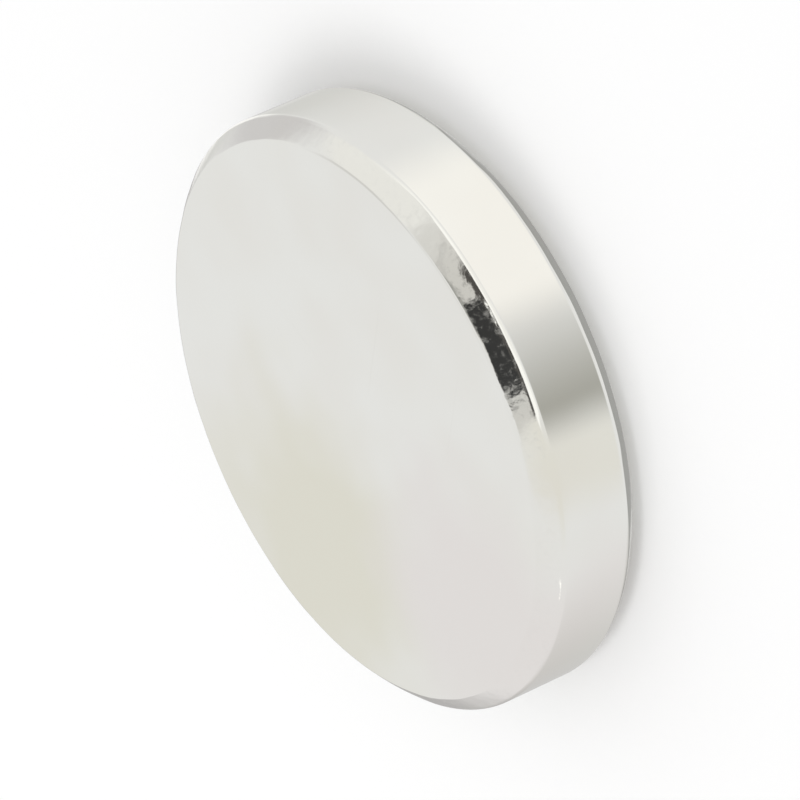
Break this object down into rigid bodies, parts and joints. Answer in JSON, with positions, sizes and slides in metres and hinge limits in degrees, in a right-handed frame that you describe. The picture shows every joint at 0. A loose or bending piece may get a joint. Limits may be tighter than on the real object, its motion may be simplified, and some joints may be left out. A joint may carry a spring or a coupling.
{
  "type": "disc magnet",
  "caption": "Flat round neodymium magnet, nickel plated, with ground faces and a 45 degree chamfer on both edges.",
  "frame": {"origin": "centre of the back face, which lies on Z = 0", "axes": "+Z along the axis of the disc, from the back face to the front face; X and Y are alike"},
  "size_m": [0.0254, 0.0254, 0.0048],
  "materials": {
    "nickel_plating": "bright nickel plating over a ground and tumbled surface"
  },
  "bodies": {
    "root": {"magnet": "nickel_plating"}
  },
  "joints": []
}
